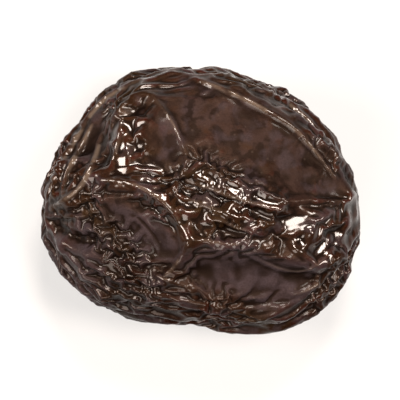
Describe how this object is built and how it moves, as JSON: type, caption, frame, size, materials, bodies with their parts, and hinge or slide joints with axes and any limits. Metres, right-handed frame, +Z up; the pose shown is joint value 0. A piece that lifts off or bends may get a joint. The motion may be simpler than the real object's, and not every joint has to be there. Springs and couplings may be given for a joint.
{
  "type": "prune",
  "caption": "Whole dried plum: a lopsided pebble-shaped fruit with deeply wrinkled, glossy near-black skin, lying on a small flat spot.",
  "frame": {"origin": "under the middle of the fruit's box, on the surface that it lies on", "axes": "+X from the stem end to the blossom end, +Y towards the other side of the outline, +Z up"},
  "size_m": [0.036, 0.0302, 0.021],
  "materials": {
    "skin": "glossy, near-black brown fruit skin with a reddish tint where it is thin"
  },
  "bodies": {
    "root": {"prune": "skin"}
  },
  "joints": []
}
